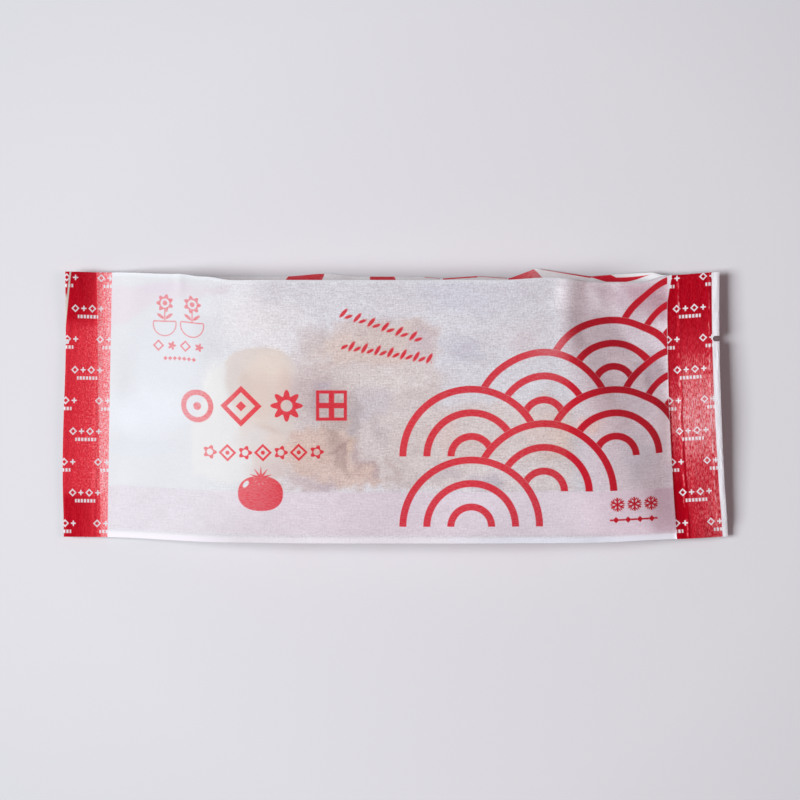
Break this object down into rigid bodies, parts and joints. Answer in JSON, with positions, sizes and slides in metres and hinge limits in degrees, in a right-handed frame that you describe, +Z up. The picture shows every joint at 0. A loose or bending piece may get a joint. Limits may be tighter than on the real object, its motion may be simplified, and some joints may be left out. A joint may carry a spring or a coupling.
{
  "type": "taiyaki pack",
  "caption": "Shut film pack holding a fish-shaped waffle cake: flat front panel, folded side gussets and a heat-sealed band across each end, lying on its back panel.",
  "frame": {"origin": "centre of the pack's outline, on the floor that its back panel lies on", "axes": "+X along the pack towards the end that the cake's head points to, +Y across the pack, +Z up out of the front panel"},
  "size_m": [0.2534, 0.1044, 0.025],
  "materials": {
    "film": "thin white translucent paper-like film with red print",
    "cake": "browned waffle crust"
  },
  "bodies": {
    "root": {"taiyaki_pack": "film"}
  },
  "joints": []
}
